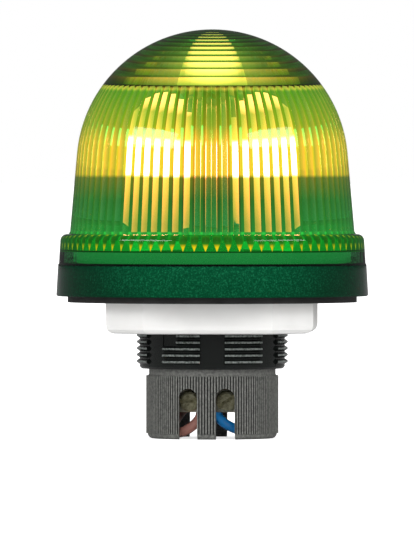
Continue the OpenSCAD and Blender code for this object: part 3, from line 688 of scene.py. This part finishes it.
def make_leads():
    for name, route, side in (("lead_brown", BROWN_ROUTE, -1), ("lead_blue", BLUE_ROUTE, 1)):
        path = [Vector((side * p.x, p.y, p.z)) for p in smooth_route(route, 8)]
        new_piece(name + "_insulation", tube_mesh(name, path, LEAD_R, 24), "body", name, [name])
        bare = [Vector((side * WIRE_X, WIRE_Y, z)) for z in np.linspace(WIRE_LOW, WIRE_HIGH, 12)]
        new_piece(name + "_core", tube_mesh(name + "_core", bare, WIRE_R, 20), "body", "copper")


def coil(turns, radius, low, high, x):
    """The middle line of a coil spring that stands at x."""
    path = []
    count = turns * COIL_POINTS
    for i in range(count + 1):
        t = i / count
        a = 2 * math.pi * turns * t
        path.append(Vector((x + radius * math.cos(a), radius * math.sin(a), low + (high - low) * t)))
    return path


def make_springs():
    for name, side in (("left", -1), ("right", 1)):
        low, high = TAB_Z + SPRING_WIRE + SPRING_GAP, SPRING_TOP - SPRING_WIRE - SPRING_GAP
        path = coil(SPRING_TURNS, SPRING_R, low, high, side * PLUNGER_X)
        mesh = tube_mesh("contact_spring_" + name, path, SPRING_WIRE, 10)
        piece = new_piece("contact_coil_" + name, mesh, "body", "spring_steel",
                          ["contact_spring_" + name])
        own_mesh(piece)


def make_filament():
    """The filament: a fine coil that rises from one support to the middle and falls to the other."""
    path = []
    per_turn = 10
    count = FILAMENT_TURNS * per_turn
    for side in (-1, 1):
        foot, peak = Vector((side * FILAMENT_X, 0, FILAMENT_Z)), Vector((0, 0, FILAMENT_Z + FILAMENT_H))
        start, end = (foot, peak) if side < 0 else (peak, foot)
        along = (end - start).normalized()
        across, other = Vector((0, 1, 0)), along.cross(Vector((0, 1, 0)))
        for i in range(count):
            a = 2 * math.pi * i / per_turn
            path.append(start + (end - start) * i / count
                        + (FILAMENT_R - FILAMENT_WIRE) * (math.cos(a) * across + math.sin(a) * other))
    mesh = tube_mesh("filament_coil", path, FILAMENT_WIRE, 6, 0)
    new_piece("filament_coil", mesh, "bulb", "filament", ["filament"])


# ---- Pieces --------------------------------------------------------------------------------------

DRESSING = {
    "lens_seal": "rubber_black", "base": "base_black", "panel_gasket": "rubber_black",
    "mounting_nut": "nut_white", "terminal_housing": "housing_grey", "terminal_block": "block_black",
    "terminal_left": "brass", "terminal_right": "brass",
    "clamp_plate_left": "zinc_plate", "clamp_plate_right": "zinc_plate",
    "terminal_screw_left": "screw_zinc", "terminal_screw_right": "screw_zinc",
    "contact_tab_left": "brass", "contact_tab_right": "brass",
    "contact_plunger_left": "brass", "contact_plunger_right": "brass",
    "lamp_holder": "nickel", "bulb_glass": "bulb_glass", "bulb_cap": "nickel",
    "bulb_insulator": "bulb_bead", "filament_supports": "spring_steel",
}

for node_name, slot_name in DRESSING.items():
    dress(node_name, slot_name)
new_piece("lens_moulding", make_lens(), "dome", "lens_green", ["lens"])
make_leads()
make_springs()
make_filament()


# ---- Floor, world and lamps ----------------------------------------------------------------------

def shown_rays(tree):
    """1 for the rays that show the background: from the camera, or by gloss or through glass."""
    path = tree.nodes.new("ShaderNodeLightPath")
    total = path.outputs["Is Camera Ray"]
    for name in ("Is Glossy Ray", "Is Transmission Ray"):
        add = tree.nodes.new("ShaderNodeMath")
        add.operation = "ADD"
        add.use_clamp = True
        tree.links.new(total, add.inputs[0])
        tree.links.new(path.outputs[name], add.inputs[1])
        total = add.outputs["Value"]
    return total


def make_world():
    """A white background, in a studio that is dark behind the camera and at both sides."""
    world = bpy.data.worlds.new("studio")
    bpy.context.scene.world = world
    world.use_nodes = True
    tree = world.node_tree
    tree.nodes.clear()
    output = tree.nodes.new("ShaderNodeOutputWorld")
    path = tree.nodes.new("ShaderNodeLightPath")
    place = tree.nodes.new("ShaderNodeTexCoord")
    split = tree.nodes.new("ShaderNodeSeparateXYZ")
    tree.links.new(place.outputs["Generated"], split.inputs["Vector"])
    level = None
    for ray, *limits in ROOM:
        room = tree.nodes.new("ShaderNodeMapRange")
        for key, value in zip(("From Min", "From Max", "To Min", "To Max"), limits):
            room.inputs[key].default_value = value
        tree.links.new(split.outputs["Y"], room.inputs["Value"])
        part = tree.nodes.new("ShaderNodeMath")
        part.operation = "MULTIPLY"
        tree.links.new(room.outputs["Result"], part.inputs[0])
        tree.links.new(path.outputs[ray], part.inputs[1])
        if level:
            total = tree.nodes.new("ShaderNodeMath")
            total.operation = "MAXIMUM"
            tree.links.new(level, total.inputs[0])
            tree.links.new(part.outputs["Value"], total.inputs[1])
            part = total
        level = part.outputs["Value"]
    background = tree.nodes.new("ShaderNodeBackground")
    background.inputs["Color"].default_value = WHITE
    tree.links.new(level, background.inputs["Strength"])
    tree.links.new(background.outputs["Background"], output.inputs["Surface"])


def make_floor():
    """A plain pale floor, which shows dark in gloss and through glass, as the studio is dark."""
    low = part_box("terminal_housing")[0].z
    mesh = bpy.data.meshes.new("floor")
    corners = ((-1, -1), (1, -1), (1, 1), (-1, 1))
    mesh.from_pydata([(x * FLOOR_SIZE, y * FLOOR_SIZE, low) for x, y in corners], [], [(0, 1, 2, 3)])
    floor = bpy.data.objects.new("floor", mesh)
    bpy.context.scene.collection.objects.link(floor)
    s = Shader("floor")
    diffuse = s.node("ShaderNodeBsdfDiffuse")
    diffuse.inputs["Color"].default_value = FLOOR_PALE
    glow = s.node("ShaderNodeEmission")
    s.link(s.math("MULTIPLY", shown_rays(s.tree), FLOOR_GLOW), glow.inputs["Strength"])
    lit = s.node("ShaderNodeAddShader")
    s.link(diffuse.outputs["BSDF"], lit.inputs[0])
    s.link(glow.outputs["Emission"], lit.inputs[1])
    path = s.node("ShaderNodeLightPath")
    dark = s.node("ShaderNodeBsdfDiffuse")
    dark.inputs["Color"].default_value = FLOOR_DARK
    both = s.node("ShaderNodeMixShader")
    share = s.math("MAXIMUM", s.math("MULTIPLY", path.outputs["Is Glossy Ray"], DARK_IN_GLOSS),
                   s.math("MULTIPLY", path.outputs["Is Transmission Ray"], DARK_IN_GLASS))
    s.link(share, both.inputs["Fac"])
    s.link(lit.outputs["Shader"], both.inputs[1])
    s.link(dark.outputs["BSDF"], both.inputs[2])
    s.link(both.outputs["Shader"], s.output.inputs["Surface"])
    mesh.materials.append(s.material)


def softbox(name, side, power):
    """A soft lamp that faces the lens, so many degrees to the side of the front."""
    data = bpy.data.lights.new(name, "AREA")
    data.shape = "RECTANGLE"
    data.size, data.size_y = LAMP_W, LAMP_H
    data.energy = power
    lamp = bpy.data.objects.new(name, data)
    bpy.context.scene.collection.objects.link(lamp)
    side, rise = math.radians(side), math.radians(LAMP_RISE)
    away = Vector((math.cos(rise) * math.sin(side), -math.cos(rise) * math.cos(side), math.sin(rise)))
    lamp.location = Vector((0, 0, DOME_Z * MM)) + away * LAMP_DISTANCE
    lamp.rotation_euler = (-away).to_track_quat("-Z", "Y").to_euler()


make_world()
make_floor()
softbox("key", -LAMP_SIDE, KEY_POWER)
softbox("fill", LAMP_SIDE, FILL_POWER)
bpy.context.scene.view_settings.view_transform = "Standard"
